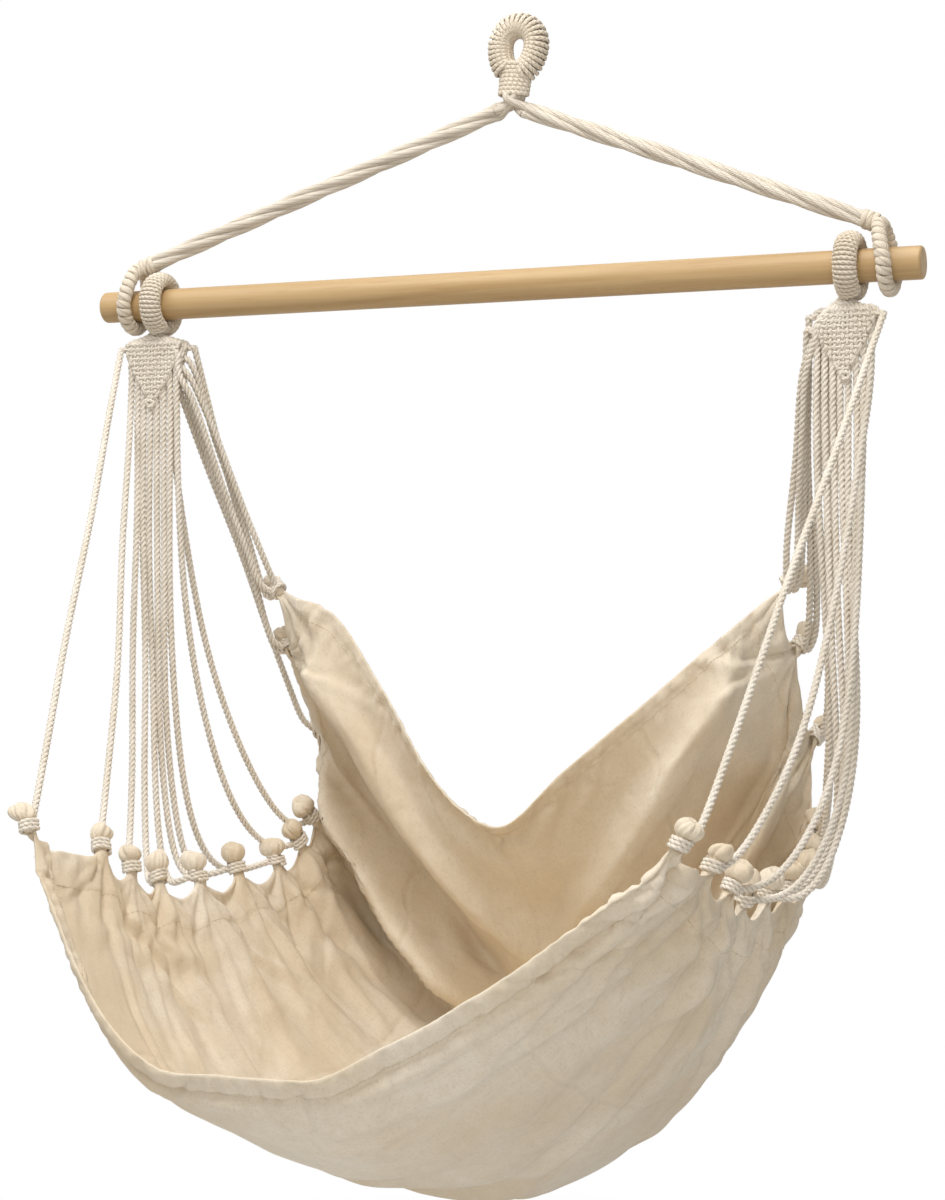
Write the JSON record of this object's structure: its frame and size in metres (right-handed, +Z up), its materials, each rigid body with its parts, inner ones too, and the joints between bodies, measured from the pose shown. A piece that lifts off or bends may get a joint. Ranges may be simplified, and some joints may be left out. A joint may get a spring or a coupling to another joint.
{
  "type": "hammock chair",
  "caption": "Hanging chair: a wrapped rope eye and yoke carry a wooden spreader bar, and ropes from two woven clews carry a gathered canvas seat.",
  "frame": {"origin": "top of the hanging eye's hole, where the hook bears", "axes": "+X along the spreader bar towards the sitter's left, +Y towards the back of the seat, +Z up"},
  "size_m": [0.9, 0.6925, 1.2079],
  "materials": {
    "bar_wood": "smooth pale beech with a thin satin oil",
    "yoke_rope": "twisted undyed cotton rope",
    "harness_rope": "twisted undyed cotton rope",
    "whipping_cord": "twisted undyed cotton cord, wound tight",
    "woven_clew": "cotton cords woven over and under",
    "seat_rope": "three-strand undyed cotton rope",
    "canvas": "undyed cotton canvas with small brown flecks"
  },
  "bodies": {
    "yoke": {"hanging_eye_core": "yoke_rope", "hanging_eye_whipping": "whipping_cord", "neck_whipping": "whipping_cord", "crown_knot": "yoke_rope", "yoke_rope_left": "yoke_rope", "yoke_rope_right": "yoke_rope", "yoke_loop_whipping_left": "whipping_cord", "yoke_loop_whipping_right": "whipping_cord"},
    "bar": {"spreader_bar": "bar_wood"},
    "seat": {"harness_loop_core_left": "harness_rope", "harness_loop_core_right": "harness_rope", "harness_loop_whipping_left": "whipping_cord", "harness_loop_whipping_right": "whipping_cord", "clew_left": "woven_clew", "clew_right": "woven_clew", "rope_left_01": "seat_rope", "rope_left_02": "seat_rope", "rope_left_03": "seat_rope", "rope_left_04": "seat_rope", "rope_left_05": "seat_rope", "rope_left_06": "seat_rope", "rope_left_07": "seat_rope", "rope_left_08": "seat_rope", "rope_left_09": "seat_rope", "rope_left_10": "seat_rope", "rope_left_11": "seat_rope", "rope_left_12": "seat_rope", "rope_left_13": "seat_rope", "rope_left_14": "seat_rope", "rope_left_15": "seat_rope", "rope_left_16": "seat_rope", "rope_right_01": "seat_rope", "rope_right_02": "seat_rope", "rope_right_03": "seat_rope", "rope_right_04": "seat_rope", "rope_right_05": "seat_rope", "rope_right_06": "seat_rope", "rope_right_07": "seat_rope", "rope_right_08": "seat_rope", "rope_right_09": "seat_rope", "rope_right_10": "seat_rope", "rope_right_11": "seat_rope", "rope_right_12": "seat_rope", "rope_right_13": "seat_rope", "rope_right_14": "seat_rope", "rope_right_15": "seat_rope", "rope_right_16": "seat_rope", "seat_cloth": "canvas"}
  },
  "joints": [
    {"name": "bar_turn", "type": "hinge", "parent": "yoke", "child": "bar", "pos_m": [-0.033, 0, -0.252], "axis": [1, 0, 0], "continuous": true},
    {"name": "seat_swing", "type": "hinge", "parent": "yoke", "child": "seat", "pos_m": [-0.033, 0, -0.252], "axis": [1, 0, 0], "range_deg": [-30, 30]}
  ]
}
